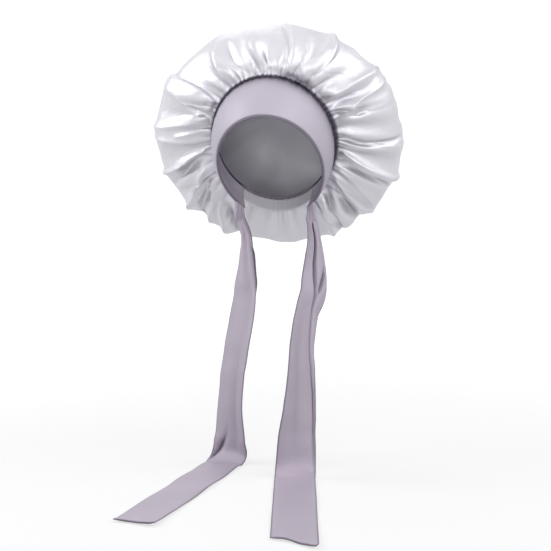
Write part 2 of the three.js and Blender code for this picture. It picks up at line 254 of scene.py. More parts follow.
# Lamps: name, place, aim, size, watts.
LAMPS = (
    ("left", (-1.8, -0.2, 0.9), (0, 0.03, 0.03), 1.6, 21),
    ("right", (1.6, -1.7, 0.6), (0, 0, -0.1), 1.6, 12),
    ("top_right", (1.45, -0.1, 1.3), (0, 0.03, 0.03), 1.6, 12),
    ("low", (0.0, -1.7, -0.1), (0, 0.05, 0), 0.7, 5.5),
    ("back", (-0.45, 1.2, 1.6), (0, 0.1, 0), 1.2, 3),
    ("top", (-0.1, -0.8, 1.9), (0, 0.03, 0.03), 2.2, 4),
)


def make_camera():
    data = bpy.data.cameras.new("camera")
    data.lens = CAMERA_LENS
    data.sensor_width = CAMERA_SENSOR
    turn = math.radians(CAMERA_TURN)
    camera = placed("camera", data)
    camera.location = (CAMERA_DISTANCE * math.sin(turn) + CAMERA_ASIDE * math.cos(turn),
                       -CAMERA_DISTANCE * math.cos(turn) + CAMERA_ASIDE * math.sin(turn), 0)
    camera.rotation_euler = Euler((math.radians(90 - CAMERA_DOWN), 0, turn))
    bpy.context.scene.camera = camera


def area_light(name, place, target, size, watts):
    data = bpy.data.lights.new(name, "AREA")
    data.shape = "DISK"
    data.size = size
    data.energy = watts
    lamp = placed(name, data)
    lamp.location = place
    lamp.rotation_euler = (Vector(target) - Vector(place)).to_track_quat("-Z", "Y").to_euler()


def set_inputs(tree, node, inputs):
    """Sets or links a node's inputs, given by name or number."""
    for socket, value in inputs.items():
        if isinstance(value, bpy.types.NodeSocket):
            tree.links.new(value, node.inputs[socket])
        else:
            node.inputs[socket].default_value = value


def add_node(tree, kind, inputs=None, **settings):
    """A new shader node with its settings and inputs."""
    node = tree.nodes.new("ShaderNode" + kind)
    for name, value in settings.items():
        setattr(node, name, value)
    set_inputs(tree, node, inputs or {})
    return node


def colour_ramp(tree, value, low, high):
    """A ramp between two colours, each given with its place."""
    node = add_node(tree, "ValToRGB", {0: value})
    for element, (place, colour) in zip(node.color_ramp.elements, (low, high)):
        element.position = place
        element.color = (*colour, 1)
    return node


def mixed_colour(tree, share, first, second):
    """The first colour, or the second one where share is 1."""
    mix = add_node(tree, "Mix", {0: share, 6: first, 7: (*second, 1)}, data_type="RGBA")
    return mix.outputs[2]


def seen_directly(tree):
    """1 for what the camera sees, straight or through a reflection or glass."""
    path = add_node(tree, "LightPath").outputs
    seen = path["Is Camera Ray"]
    for ray in ("Is Glossy Ray", "Is Transmission Ray"):
        seen = add_node(tree, "Math", {0: seen, 1: path[ray]}, operation="MAXIMUM").outputs[0]
    return seen


def make_world():
    """Plain studio air: paler above than below as a light, white where it is seen."""
    world = bpy.data.worlds.new("studio")
    world.use_nodes = True
    tree = world.node_tree
    tree.nodes.clear()
    place = add_node(tree, "TexCoord")
    split = add_node(tree, "SeparateXYZ", {0: place.outputs["Generated"]})
    ramp = colour_ramp(tree, split.outputs["Z"], (0, WORLD_LOW), (WORLD_HIGH_AT, WORLD_HIGH))
    colour = mixed_colour(tree, seen_directly(tree), ramp.outputs[0], WORLD_SEEN)
    air = add_node(tree, "Background", {"Color": colour, "Strength": 1})
    add_node(tree, "OutputWorld", {0: air.outputs[0]})
    bpy.context.scene.world = world


def make_sweep():
    """Floor that runs up into a backdrop; white where it is seen, still taking the shadow near by."""
    profile = [(y, FLOOR_Z) for y in FLOOR_ROWS]
    last = FLOOR_ROWS[-1]
    for turn in range(10, 91, 10):
        swing = math.radians(turn)
        profile.append((last + SWEEP_BEND * math.sin(swing), FLOOR_Z + SWEEP_BEND * (1 - math.cos(swing))))
    profile += [(last + SWEEP_BEND, z) for z in BACKDROP_ROWS]
    columns = np.linspace(-SWEEP_HALF_WIDTH, SWEEP_HALF_WIDTH, 7)
    floor = grid_object("floor", np.array([[(x, y, z) for x in columns] for y, z in profile]))
    material = bpy.data.materials.new("floor")
    material.use_nodes = True
    tree = material.node_tree
    tree.nodes.clear()
    matt = add_node(tree, "BsdfDiffuse", {"Color": (*FLOOR_COLOUR, 1)})
    place = add_node(tree, "NewGeometry")
    ends = {0: place.outputs["Position"], 1: FLOOR_GLOW_FROM}
    away = add_node(tree, "VectorMath", ends, operation="DISTANCE")
    far = add_node(tree, "MapRange", {"From Max": FLOOR_GLOW_REACH, "Value": away.outputs["Value"]})
    nearest = (FLOOR_GLOW[0][1],) * 3
    level = colour_ramp(tree, far.outputs[0], (0, nearest), (1, (1, 1, 1)))
    for reach, strength in FLOOR_GLOW:
        level.color_ramp.elements.new(reach / FLOOR_GLOW_REACH).color = (strength, strength, strength, 1)
    glow = add_node(tree, "Emission", {"Color": (1, 1, 1, 1), "Strength": level.outputs[0]})
    both = add_node(tree, "AddShader", {0: matt.outputs[0], 1: glow.outputs[0]})
    mix = add_node(tree, "MixShader", {0: seen_directly(tree), 1: matt.outputs[0], 2: both.outputs[0]})
    add_node(tree, "OutputMaterial", {0: mix.outputs[0]})
    floor.data.materials.append(material)


make_camera()
make_world()
make_sweep()
for lamp in LAMPS:
    area_light(*lamp)
bpy.context.scene.view_settings.view_transform = "Standard"

# Cloth: scales of its textures, and heights of its bumps in metres.
WEAVE_WAVER = 1.2
WEAVE_TONE = 0.35
WEAVE_BUMP = 0.35
WEAVE_HEIGHT = 0.00012
CLOUD_SCALE = 14
CRINKLE_SCALE = 90
CRINKLE_HEIGHT = 0.0015
TONE_LOW_AT = 0.3
TONE_HIGH_AT = 0.85
SHEEN_ROUGH = 0.4
GLOSS_LOW = 0.05
GLOSS_HIGH = 0.07


def cloth_material(name, colour, shade, rough, metal, sheen, weave, crinkle, painted_shade=None):
    """Woven or knitted cloth: two tones in its threads, a fine weave bump and soft crinkles."""
    material = bpy.data.materials.new(name)
    material.use_nodes = True
    tree = material.node_tree
    place = add_node(tree, "TexCoord").outputs
    threads = {}
    for number, axis in enumerate("XY"):
        wave = {"Vector": place["UV"], "Scale": weave, "Distortion": WEAVE_WAVER, "Detail": 1}
        threads[number] = add_node(tree, "TexWave", wave, bands_direction=axis).outputs["Fac"]
    cross = add_node(tree, "Math", threads, operation="MULTIPLY").outputs[0]
    cloud = {"Vector": place["Object"], "Scale": CLOUD_SCALE, "Detail": 4}
    cloud = add_node(tree, "TexNoise", cloud).outputs["Fac"]
    tone = add_node(tree, "Math", {0: cross, 1: WEAVE_TONE, 2: cloud}, operation="MULTIPLY_ADD")
    shown = colour_ramp(tree, tone.outputs[0], (TONE_LOW_AT, shade), (TONE_HIGH_AT, colour)).outputs[0]
    # Painted shade: a dark colour mixed in as far as the value stored on the mesh says.
    if painted_shade:
        deep = add_node(tree, "Attribute", attribute_name="painted_shade")
        shown = mixed_colour(tree, deep.outputs["Fac"], shown, painted_shade)
    gloss = {"To Min": rough - GLOSS_LOW, "To Max": rough + GLOSS_HIGH, "Value": cloud}
    gloss = add_node(tree, "MapRange", gloss)
    fine = add_node(tree, "Bump", {"Strength": WEAVE_BUMP, "Distance": WEAVE_HEIGHT, "Height": cross})
    ripple = {"Vector": place["Object"], "Scale": CRINKLE_SCALE, "Detail": 3}
    ripple = add_node(tree, "TexNoise", ripple).outputs["Fac"]
    soft = add_node(tree, "Bump", {"Strength": crinkle, "Distance": CRINKLE_HEIGHT, "Height": ripple,
                                   "Normal": fine.outputs[0]})
    set_inputs(tree, tree.nodes["Principled BSDF"], {
        "Base Color": shown, "Roughness": gloss.outputs[0], "Normal": soft.outputs[0], "Metallic": metal,
        "Sheen Weight": sheen, "Sheen Roughness": SHEEN_ROUGH, "Sheen Tint": (*colour, 1)})
    return material


# The dark colour given last to a cloth is its painted shade, for seam, folds and edges where shade falls.
SATIN = cloth_material("silver_satin", (0.745, 0.732, 0.779), (0.69, 0.678, 0.725), rough=0.34, metal=0.6,
                       sheen=0.1, weave=900, crinkle=0.04, painted_shade=(0.045, 0.035, 0.06))
LINING = cloth_material("lining_satin", (0.9, 0.89, 0.93), (0.84, 0.83, 0.88), rough=0.4, metal=0.05,
                        sheen=0.2, weave=900, crinkle=0.06)
KNIT_CLOTH = cloth_material("lavender_knit", (0.65, 0.6, 0.693), (0.588, 0.538, 0.631), rough=0.5, metal=0.1,
                            sheen=0.4, weave=620, crinkle=0.08, painted_shade=(0.05, 0.04, 0.06))
# The ties' knit is darker than the band's: partly their own tone, partly painted shade of the hanging ties.
TIE_CLOTH = cloth_material("tie_knit", (0.548, 0.487, 0.574), (0.492, 0.433, 0.52), rough=0.5, metal=0.1,
                           sheen=0.4, weave=620, crinkle=0.08, painted_shade=(0.075, 0.058, 0.09))
# The piping's dark knit is partly its own darker tone and partly painted shade along the band's front edge.
EDGE = cloth_material("edge_knit_and_shade", (0.28, 0.25, 0.31), (0.22, 0.19, 0.25), rough=0.6, metal=0,
                      sheen=0.3, weave=620, crinkle=0.1)
THREAD = cloth_material("seam_thread", (0.34, 0.31, 0.37), (0.24, 0.21, 0.27), rough=0.7, metal=0,
                        sheen=0.1, weave=1500, crinkle=0.1, painted_shade=(0.065, 0.05, 0.085))
ELASTIC = cloth_material("white_elastic", (0.86, 0.85, 0.84), (0.74, 0.73, 0.72), rough=0.7, metal=0,
                         sheen=0.2, weave=500, crinkle=0.1)


# Crown: satin disc, gathered at the seam, with the folds of the photograph. Angles are in degrees.
CROWN_SIDE = 161
DISC_RADIUS = 300
GATHERS = 72
LOOSE_GATHERS = 33
LOOSE_HEIGHT = 4.5
# Cloth round the crown for each length of the space it fills, at shares of the way from seam to middle.
EXCESS_AT = (0, 0.1, 0.25, 0.45, 0.65, 0.85)
EXCESS = (1.6, 1.55, 1.36, 1.12, 1.03, 1.0)
LEAST_RISE = 0.05
# Fold crests: angle at the seam, angle at the rim, height, lean of the crest in millimetres.
RIDGES = [
    (14.8, 3.6, 1.1, 2), (32, 26, 1.0, 0), (57, 54, 1.2, 3), (70, 66, 0.6, 0), (88, 91, 0.9, 2),
    (103, 110, 1.3, 2), (112, 130, 1.2, 3), (140, 150, 1.0, 0), (178, 178, 0.9, 0), (215, 208, 0.9, 0),
    (238, 231, 1.0, 0), (253, 248, 1.2, -3), (271, 274, 1.0, 0), (305, 302, 1.3, -3), (336, 331, 1.0, 0),
]
# Degrees between crests that sink by their full height, and degrees over which a crest leans.
RIDGE_SPACING = 24
RIDGE_LEAN_REACH = 3
# How far the cloth sinks between crests: in general, and how much less at the rim, in millimetres.
PANEL_SINK = 8
PANEL_RIM_LESS = 5.5
PANEL_RIM_SPAN = 0.13


def disc_grid(side):
    """A square grid mapped onto the unit disc: (radius, angle in degrees) of each point."""
    line = np.linspace(-1, 1, side)
    a, b = np.meshgrid(line, line, indexing="ij")
    wide = np.abs(a) > np.abs(b)
    with np.errstate(divide="ignore", invalid="ignore"):
        turn = np.where(wide, (np.pi / 4) * (b / a), np.pi / 2 - (np.pi / 4) * (a / b))
    reach = np.where(wide, a, b)
    turn = np.nan_to_num(turn)
    x, y = reach * np.cos(turn), reach * np.sin(turn)
    return np.hypot(x, y), np.degrees(np.arctan2(x, y)) % 360


def on_disc(out, angle):
    """Flat place of a point of the disc."""
    return stacked(out * np.sin(np.radians(angle)), out * np.cos(np.radians(angle)))


TABLE_STEP = 5
TABLE_ANGLES = np.arange(0, 361, float(TABLE_STEP))
TABLE_SHARES = np.linspace(0, 1, 241)
TABLE_POINTS = crown_sheet(TABLE_ANGLES[:, None], TABLE_SHARES[None, :])
TABLE_STEPS = np.linalg.norm(np.diff(TABLE_POINTS, axis=1), axis=-1)
TABLE_START = np.zeros((len(TABLE_ANGLES), 1))
TABLE_ARCS = np.concatenate([TABLE_START, np.cumsum(TABLE_STEPS, axis=1)], axis=1)


def looked_up(table, angle, part):
    """A value from a table of angles and of evenly spaced parts from 0 to 1."""
    last = table.shape[1] - 1
    row = np.clip((angle / TABLE_STEP).astype(int), 0, len(TABLE_ANGLES) - 2)
    row_part = angle / TABLE_STEP - row
    spot = np.clip(part, 0, 1) * last
    col = np.clip(spot.astype(int), 0, last - 1)
    cut = spot - col
    low = table[row, col] * (1 - cut) + table[row, col + 1] * cut
    high = table[row + 1, col] * (1 - cut) + table[row + 1, col + 1] * cut
    return low * (1 - row_part) + high * row_part


def crown_share(angle, out):
    """Share of the crown for a place on the disc; out is 0 at the middle and 1 at the seam."""
    table = np.array([np.interp((1 - TABLE_SHARES) * arc[-1], arc, TABLE_SHARES) for arc in TABLE_ARCS])
    return looked_up(table, angle, out)


def crown_pattern(angle, share):
    """The crown's cloth before it is gathered: its own lengths, without folds."""
    around = np.linalg.norm(np.diff(TABLE_POINTS, axis=0), axis=-1).sum(0) / (2 * np.pi)
    radius = around * np.interp(TABLE_SHARES, EXCESS_AT, EXCESS)
    least = (LEAST_RISE * TABLE_STEPS) ** 2
    rise = np.sqrt(np.maximum(TABLE_STEPS ** 2 - np.diff(radius)[None, :] ** 2, least))
    height = np.concatenate([TABLE_START, np.cumsum(rise, axis=1)], axis=1)
    reach = np.interp(share, TABLE_SHARES, radius)
    turn = np.radians(angle)
    return stacked(reach * np.sin(turn), reach * np.cos(turn), looked_up(height, angle, share))


def ridge_shape(angle, share):
    """Fold crests: how far the panels sink between them, and how far the crests lean over."""
    grow = np.clip(share / RIM_SHARE, 0, 1).ravel()
    seam, rim, tall, lean = np.array(RIDGES, float).T
    lines = seam[:, None] + (rim - seam)[:, None] * grow[None, :]
    flat = angle.ravel()
    ahead = (lines - flat[None, :]) % 360
    behind = (flat[None, :] - lines) % 360
    after, before = ahead.argmin(0), behind.argmin(0)
    next_gap, last_gap = ahead.min(0), behind.min(0)
    width = next_gap + last_gap
    spot = last_gap / np.maximum(width, 1e-6)
    height = tall[after] * spot + tall[before] * (1 - spot)
    sink = np.sin(np.pi * spot) ** 0.8 * height * np.clip(width / RIDGE_SPACING, 0.5, 1.3)
    next_lean = lean[after] * np.exp(-next_gap / RIDGE_LEAN_REACH)
    tilt = next_lean + lean[before] * np.exp(-last_gap / RIDGE_LEAN_REACH)
    return sink.reshape(angle.shape), tilt.reshape(angle.shape)


def gather_phase(angle, count):
    """Running phase of the gathers: uneven pleats, whole in number round the seam."""
    widths = RNG.uniform(0.55, 1.45, count)
    edges = np.concatenate([[0], np.cumsum(widths)]) / widths.sum() * 360
    return np.interp(angle, edges, np.arange(count + 1)) * 2 * np.pi


def uneven(angle, count, low, high):
    """A smooth closed random run of values round the crown."""
    knots = RNG.uniform(low, high, count)
    spot = angle / 360 * count
    left = spot.astype(int) % count
    cut = soft_step(spot - np.floor(spot))
    return knots[left] * (1 - cut) + knots[(left + 1) % count] * cut


def crown_start():
    """The crown with its gathers and fold crests, before the cloth settles."""
    out, angle = disc_grid(CROWN_SIDE)
    share = crown_share(angle, out)
    base = crown_sheet(angle, share)
    inside = np.clip(share, 0.011, 0.985)
    normal = sheet_normal(crown_sheet, angle, inside)
    middle = np.clip((share - 0.9) / 0.08, 0, 1)[..., None]
    normal = unit(normal * (1 - middle) + CROWN_AXIS * middle)
    around = unit(crown_sheet(angle + ANGLE_STEP, inside) - crown_sheet(angle - ANGLE_STEP, inside))
    away = (1 - out) * DISC_RADIUS
    fine = np.cos(gather_phase(angle, GATHERS)) * uneven(angle, 50, 0.5, 1.3)
    fine = fine * (0.8 + 0.6 * (1 - np.exp(-away / 5))) * np.exp(-away / uneven(angle, 37, 9, 24))
    loose = np.cos(gather_phase(angle, LOOSE_GATHERS)) * uneven(angle, 34, 0.4, 1.3)
    loose = loose * LOOSE_HEIGHT * (1 - np.exp(-away / 14)) * np.exp(-away / uneven(angle, 23, 24, 60))
    sink, tilt = ridge_shape(angle, share)
    back = np.clip((share - RIM_SHARE) / (1 - RIM_SHARE), 0, 1)
    rim = np.sin(np.pi * np.clip(share, 0, 1)) ** 0.7 * (1 - back) ** 4.5
    hollow = PANEL_SINK - PANEL_RIM_LESS * np.exp(-((share - RIM_SHARE) / PANEL_RIM_SPAN) ** 2)
    raised = normal * (fine + loose - hollow * sink * rim)[..., None]
    points = base + raised + around * (tilt * rim)[..., None]
    return points, out, angle, share


# Steps of the cloth simulation and its rules.
SETTLE_FRAMES = 24
CLOTH_RULES = {
    "quality": 6, "mass": 0.05, "air_damping": 3, "use_pressure": True, "uniform_pressure_force": 4,
    "tension_stiffness": 15, "compression_stiffness": 15, "shear_stiffness": 6, "bending_stiffness": 0.12,
    "tension_damping": 12, "compression_damping": 12, "shear_damping": 12,
}


def settle(obj, rest, pins):
    """Lets a sheet find its own folds: rest gives its lengths, pins where it is held, pressure fills it."""
    scene = bpy.context.scene
    group = obj.vertex_groups.new(name="pins")
    for index in np.nonzero(pins > 0.001)[0]:
        group.add([int(index)], float(pins[index]), "REPLACE")
    obj.shape_key_add(name="start", from_mix=False)
    key = obj.shape_key_add(name="rest", from_mix=False)
    key.data.foreach_set("co", (rest.reshape(-1, 3) * MM).ravel())
    cloth = obj.modifiers.new("cloth", "CLOTH")
    rules = cloth.settings
    rules.rest_shape_key = key
    rules.vertex_group_mass = "pins"
    for name, value in CLOTH_RULES.items():
        setattr(rules, name, value)
    rules.effector_weights.gravity = 0
    cloth.collision_settings.use_collision = False
    cloth.collision_settings.use_self_collision = False
    cloth.point_cache.frame_start = 1
    cloth.point_cache.frame_end = SETTLE_FRAMES + 1
    for number in range(1, SETTLE_FRAMES + 2):
        scene.frame_set(number)
    posed = obj.evaluated_get(bpy.context.evaluated_depsgraph_get())
    after = np.empty(len(obj.data.vertices) * 3)
    posed.data.vertices.foreach_get("co", after)
    obj.modifiers.remove(cloth)
    obj.vertex_groups.remove(group)
    obj.shape_key_clear()
    obj.data.vertices.foreach_set("co", after)
    obj.data.update()
    scene.frame_set(1)
    return after.reshape(-1, 3) / MM


# Creases of the satin: kind, height and half width in millimetres, then (angle, place on the disc) along it.
# A lap slides over its neighbour by its half width, to the side that the sign of its height gives.
CREASES = [
    ("lap", 6, 1.5, [(4.4, 0.6), (9.0, 0.75), (13.3, 0.888), (16.0, 0.95)]),
    ("ridge", 6.8, 6.6, [(15.5, 0.763), (21.9, 0.875), (27, 0.94)]),
    ("ridge", 6.8, 4.0, [(26.6, 0.58), (29.2, 0.713), (30.7, 0.825), (32.5, 0.9), (34.5, 0.95)]),
    ("ridge", 6.8, 6.6, [(54.0, 0.56), (50.7, 0.688), (50.1, 0.775), (52.0, 0.888), (52.6, 0.94)]),
    ("valley", 7.6, 6.6, [(54.5, 0.75), (55.5, 0.85), (59.6, 0.95)]),
    ("ridge", 6, 4.0, [(57.9, 0.6), (57.5, 0.763), (61, 0.85), (69.9, 0.94)]),
    ("valley", 6.8, 5.3, [(67.8, 0.838), (71.5, 0.9), (72.7, 0.96)]),
    ("valley", 6, 4.0, [(87.2, 0.97), (91, 0.9), (88.5, 0.8), (86.5, 0.64)]),
    ("ridge", 9.5, 4.0, [(100.4, 0.96), (104, 0.888), (106.5, 0.775), (110.3, 0.6)]),
    ("valley", 8.4, 5.3, [(107, 0.95), (109.3, 0.875), (112, 0.788), (115.5, 0.66)]),
    ("ridge", 5.9, 3.5, [(123.9, 0.95), (129.1, 0.863), (132, 0.75), (131, 0.6)]),
    ("valley", 10.6, 6.6, [(129, 0.96), (134.3, 0.863), (138.0, 0.762), (140.2, 0.65)]),
    ("valley", 9.5, 5.3, [(136, 0.96), (143.6, 0.85), (151.7, 0.66)]),
    ("ridge", 8.4, 5.3, [(141, 0.94), (148.5, 0.85), (157, 0.62)]),
    ("valley", 8, 6.6, [(339.4, 0.737), (340.1, 0.85), (340, 0.93), (340.5, 0.97)]),
    ("ridge", 6.8, 6.6, [(336.0, 0.56), (334.5, 0.75), (329, 0.88), (322, 0.95)]),
    ("valley", 8, 6.6, [(351.4, 0.788), (353.4, 0.85), (355.9, 0.93), (358, 0.97)]),
    ("lap", -7, 2, [(304, 0.58), (310, 0.775), (308.8, 0.9), (306.7, 0.95)]),
    ("ridge", 6.8, 5.3, [(302, 0.8), (299, 0.875), (296.1, 0.95)]),
    ("valley", 6.8, 5.3, [(296.5, 0.85), (294, 0.912), (292, 0.96)]),
    ("ridge", 6, 6.6, [(276, 0.58), (281, 0.787), (284, 0.9), (288, 0.96)]),
    ("ridge", 4.2, 4.0, [(275, 0.825), (275.5, 0.875), (277.1, 0.95)]),
    ("ridge", 10.6, 4.0, [(251, 0.58), (256, 0.787), (260, 0.875), (262.3, 0.95)]),
    ("valley", 9.5, 6.6, [(246, 0.66), (252, 0.8), (256, 0.887), (258.3, 0.95)]),
    ("ridge", 10.6, 5.3, [(249, 0.9), (241.5, 0.85), (236.4, 0.787), (230, 0.64)]),
    ("valley", 8.4, 6.6, [(241.5, 0.9), (233.6, 0.85), (226.6, 0.725), (223, 0.66)]),
    ("ridge", 5.9, 5.3, [(235.6, 0.9), (226.4, 0.825), (220.5, 0.725), (217, 0.64)]),
    ("ridge", 8.4, 6.6, [(224.4, 0.875), (214.5, 0.787), (207, 0.64)]),
    ("valley", 9.5, 6.6, [(219, 0.875), (209, 0.787), (202, 0.66)]),
]
BACK_FOLDS = 17
# Points along a crease, points over which it fades in, and reach of its evening out.
CREASE_STEPS = 40
CREASE_FADE = 3
CREASE_EVEN = 4
# How far from its line a crease acts, and the round of a ridge's crest, in millimetres.
LAP_MARGIN = 160
FOLD_MARGIN = 45
CREST_ROUND = 0.9
# A lap: width of its step, sink of the cloth under it, and reaches beside it, in millimetres.
LAP_STEP = 0.9
LAP_UNDER = 0.4
LAP_UNDER_REACH = 22
LAP_OVER_REACH = 55
LAP_SLIDE_REACH = 6
LAP_END_REACH = 8
CREASE_EDGE = 0.03


def back_folds(count):
    """Soft folds that run from the rim in over the back, where the cloth has some slack."""
    draw = np.random.default_rng(7)
    folds = []
    for k in range(count):
        turn = (k + draw.uniform(-0.3, 0.3)) * 360 / count
        inner = draw.uniform(0.12, 0.36)
        line = [(turn, 0.62), (turn + draw.uniform(-9, 9), 0.48), (turn + draw.uniform(-22, 22), inner)]
        kind = "valley" if k % 3 == 1 else "ridge"
        folds.append((kind, draw.uniform(2, 4.5), draw.uniform(5, 11), line))
    return folds


def refined(grid):
    """Twice as many points along both sides of a grid, on smooth curves through the given ones."""
    for _ in range(2):
        pad = np.concatenate([2 * grid[:1] - grid[1:2], grid, 2 * grid[-1:] - grid[-2:-1]])
        halfway = (9 * (pad[1:-2] + pad[2:-1]) - pad[:-3] - pad[3:]) / 16
        fine = np.empty((2 * len(grid) - 1, *grid.shape[1:]))
        fine[::2], fine[1::2] = grid, halfway
        grid = fine.swapaxes(0, 1)
    return grid


def grid_normals(grid):
    return unit(np.cross(np.gradient(grid, axis=1), np.gradient(grid, axis=0)))


def smoothed(grid, rounds):
    """A grid with its small forms ironed out; its edge stays."""
    grid = grid.copy()
    for _ in range(rounds):
        inner = grid[1:-1, 1:-1]
        sides = grid[:-2, 1:-1] + grid[2:, 1:-1] + grid[1:-1, :-2] + grid[1:-1, 2:]
        grid[1:-1, 1:-1] = inner * 0.5 + sides * 0.125
    return grid


def crease_line(grid, flat, line):
    """Points of the settled crown along a crease."""
    turns, places = np.array(line, float).T
    steps = np.linspace(0, len(line) - 1, CREASE_STEPS)
    turns = np.interp(steps, np.arange(len(line)), np.unwrap(np.radians(turns)))
    places = np.interp(steps, np.arange(len(line)), places)
    marks = stacked(places * np.sin(turns), places * np.cos(turns))
    near = [np.argmin(np.sum((flat - mark) ** 2, axis=-1)) for mark in marks]
    spine = grid.reshape(-1, 3)[near]
    return np.stack([running_mean(spine[:, k], CREASE_EVEN) for k in range(3)], axis=1)


def creased(grid, out, angle):
    """Adds the creases to the settled crown."""
    normal = grid_normals(smoothed(grid, 6))
    flat = on_disc(out, angle)
    push = np.zeros(grid.shape)
    for kind, height, half, line in CREASES + back_folds(BACK_FOLDS):
        spine = crease_line(grid, flat, line)
        margin = LAP_MARGIN if kind == "lap" else FOLD_MARGIN
        low, high = spine.min(0) - margin, spine.max(0) + margin
        chosen = np.all((grid > low) & (grid < high), axis=-1)
        spots, ups = grid[chosen], normal[chosen]
        gaps = np.linalg.norm(spots[:, None, :] - spine[None], axis=-1)
        closest = gaps.argmin(1)
        along = unit(np.gradient(spine, axis=0))[closest]
        off = spots - spine[closest]
        beside = unit(np.cross(along, ups))
        signed = np.sum(off * beside, axis=1)
        over = np.sqrt(np.maximum(gaps.min(1) ** 2 - np.sum(off * ups, axis=1) ** 2, 0))
        passed = (closest + CREASE_FADE) / (CREASE_STEPS + 2 * CREASE_FADE)
        fade = np.sin(np.pi * np.clip(passed, 0, 1)) ** 0.5
        if kind == "ridge":
            lift = height * np.exp((CREST_ROUND - np.hypot(over, CREST_ROUND)) / half)
            move = ups * (lift * fade)[:, None]
        elif kind == "valley":
            lift = -height * np.exp(-(over / half) ** 2)
            move = ups * (lift * fade)[:, None]
        else:
            way = math.copysign(1, height)
            upper = signed * way
            step = 1 / (1 + np.exp(np.clip(upper / LAP_STEP, -40, 40)))
            under = LAP_UNDER * (1 - step) * np.exp(-np.maximum(upper, 0) / LAP_UNDER_REACH)
            lift = abs(height) * (step * np.exp(np.minimum(upper, 0) / LAP_OVER_REACH) - under)
            slide = half * step * np.exp(np.minimum(upper, 0) / LAP_SLIDE_REACH)
            reach = np.exp(-(np.maximum(over - np.abs(signed), 0) / LAP_END_REACH) ** 2) * fade
            move = ups * (lift * reach)[:, None] + beside * (slide * reach * way)[:, None]
        push[chosen] += move
    edge = np.clip((1 - out) / CREASE_EDGE, 0, 1)[..., None]
    return grid + push * edge


def lowest_near(height, reach):
    """The least height within a few points of each point of a grid."""
    for axis in (0, 1):
        pad = [(0, 0), (0, 0)]
        pad[axis] = (reach, reach)
        wide = np.pad(height, pad, mode="edge")
        size = height.shape[axis]
        shifted = [np.take(wide, range(k, k + size), axis=axis) for k in range(2 * reach + 1)]
        height = np.min(shifted, axis=0)
    return height


# Painted shade in the folds: the depth that shows it in full, and its reach from the seam, in millimetres.
FOLD_TONE_DEPTH = 1.8
FOLD_TONE_REACH = 16


def crown_painted_shade(points, out, angle):
    """Painted shade on the satin: dark in the crevice by the seam, less in its folds, more toward the
    bottom.
    """
    from_seam = np.sum((points - seam_centre(angle)) * seam_outward(angle), axis=-1) - SEAM_RADIUS
    deep = 1 - soft_step((from_seam / np.interp(angle, CREVICE_AT, CREVICE_WIDE) - 0.45) / 0.55)
    deep = deep * np.clip((out - 0.85) / 0.05, 0, 1)
    sunk = np.sum((smoothed(points, 24) - points) * grid_normals(smoothed(points, 6)), axis=-1)
    # Painted shade grows toward the bottom of the crown, where less light falls.
    below = 0.5 - 0.5 * np.cos(np.radians(angle))
    near = np.exp(-np.maximum(from_seam, 0) / FOLD_TONE_REACH)
    shade = 0.08 + 0.36 * below + (0.2 + 0.35 * below) * near
    return np.maximum(deep, smoothed(np.clip(sunk / FOLD_TONE_DEPTH, 0, 1) * shade, 3))


# How firmly the cloth is held: all over, near the seam besides, and at the seam besides.
HOLD_ALL = 0.13
HOLD_NEAR = 0.37
HOLD_SEAM = 0.5

points, out, angle, share = crown_start()
crown = grid_object("crown_satin_sheet", points, flip=True)
ring = out.ravel()
hold = HOLD_ALL + HOLD_NEAR * np.clip((ring - 0.93) / 0.02, 0, 1)
hold = hold + HOLD_SEAM * np.clip((ring - 0.985) / 0.01, 0, 1)
points = settle(crown, crown_pattern(angle, share), hold).reshape(points.shape)
bpy.data.objects.remove(crown)
points = refined(points)
out, angle = disc_grid(2 * CROWN_SIDE - 1)
points = smoothed(creased(points, out, angle), 1)
flat = on_disc(out, angle) * DISC_RADIUS * MM
crown = grid_object("crown_satin", points, flip=True, uvs=flat)
crown.data.materials.append(SATIN)
paint_shade(crown, crown_painted_shade(points, out, angle))
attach(crown, "cap")
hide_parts("crown_outer")

# Lining: every second point of the ironed crown, set in by its room and by its own pleats.
LINING_STEP = 2
LINING_PLEATS = 44
LINING_BROAD_PLEATS = 17
LINING_ROOM = 2.5
LINING_SLACK = 7


def pleats(angle, away, count, heights, start, reaches):
    """Pleats that grow from the seam and fade out; heights and reaches are a count, a least and a most."""
    pleat = 0.5 + 0.5 * np.cos(gather_phase(angle, count))
    pleat = pleat * uneven(angle, *heights) * (1 - np.exp(-away / start))
    return pleat * np.exp(-away / uneven(angle, *reaches))


def lining_folds(angle, out):
    """How far the lining's gathers stand in from the crown, in millimetres."""
    away = (1 - out) * DISC_RADIUS
    small = pleats(angle, away, LINING_PLEATS, (30, 2, 5), 4, (23, 18, 40))
    wide = pleats(angle, away, LINING_BROAD_PLEATS, (17, 5, 12), 25, (11, 60, 120))
    flat = on_disc(out, angle)
    slack = 0
    for _ in range(9):
        turn, size, phase = RNG.uniform(0, np.pi), RNG.uniform(3, 9), RNG.uniform(0, 2 * np.pi)
        slack = slack + np.sin(size * (flat @ (np.cos(turn), np.sin(turn))) * np.pi + phase) / size
    return small + wide + np.clip(slack + 0.5, 0, 2) * LINING_SLACK * np.clip((1 - out) / 0.2, 0, 1)


ironed = smoothed(points, 60)
inward = grid_normals(ironed)
sunk = lowest_near(np.sum((points - ironed) * inward, axis=-1), 5)
inner = smoothed(ironed + inward * (np.minimum(sunk, 0) - LINING_ROOM)[..., None], 10)
inner = (inner - inward * lining_folds(angle, out)[..., None])[::LINING_STEP, ::LINING_STEP]
lining = grid_object("crown_lining_sheet", inner, flip=True, uvs=flat[::LINING_STEP, ::LINING_STEP])
lining.data.materials.append(LINING)
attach(lining, "cap")
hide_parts("crown_lining")


